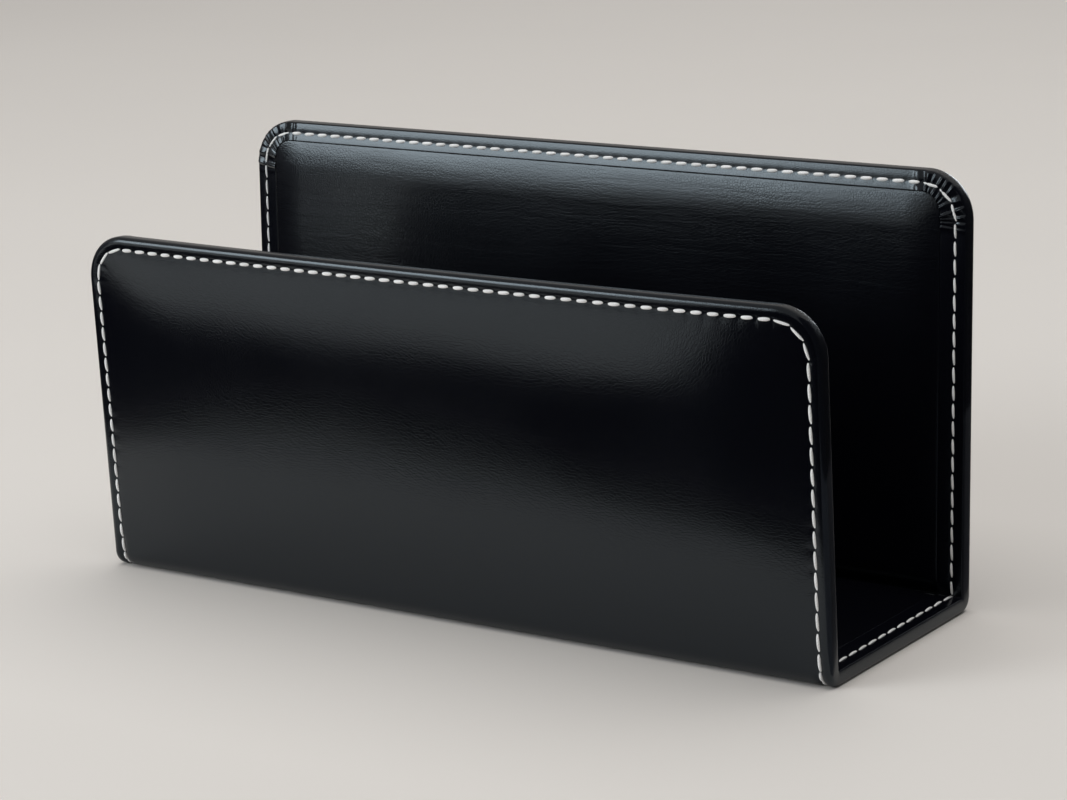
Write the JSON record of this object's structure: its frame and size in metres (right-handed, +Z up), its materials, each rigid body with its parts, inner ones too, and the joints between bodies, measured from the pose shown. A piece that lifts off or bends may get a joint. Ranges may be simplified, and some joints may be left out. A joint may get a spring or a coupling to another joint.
{
  "type": "letter holder",
  "caption": "U-shaped desk letter holder in black leather with a low front wall, a taller back wall and pale contrast stitching round the whole edge.",
  "frame": {"origin": "centre of the underside, halfway across the width and halfway between the two bends", "axes": "+X along the width to the right as seen from the front, +Y from the low front wall to the tall back wall, +Z up"},
  "size_m": [0.19, 0.0673, 0.0946],
  "materials": {
    "cover_leather": "satin",
    "lining_leather": "satin",
    "thread": "matte",
    "fibreboard": "matte",
    "bend_strip": "matte",
    "pad_foam": "matte"
  },
  "bodies": {
    "root": {"outer_cover": "cover_leather", "inner_lining": "lining_leather", "outer_thread": "thread", "inner_thread": "thread", "front_board": "fibreboard", "base_board": "fibreboard", "back_board": "fibreboard", "front_bend_strip": "bend_strip", "back_bend_strip": "bend_strip", "front_outer_pad": "pad_foam", "back_outer_pad": "pad_foam", "front_inner_pad": "pad_foam", "base_inner_pad": "pad_foam", "back_inner_pad": "pad_foam"}
  },
  "joints": []
}
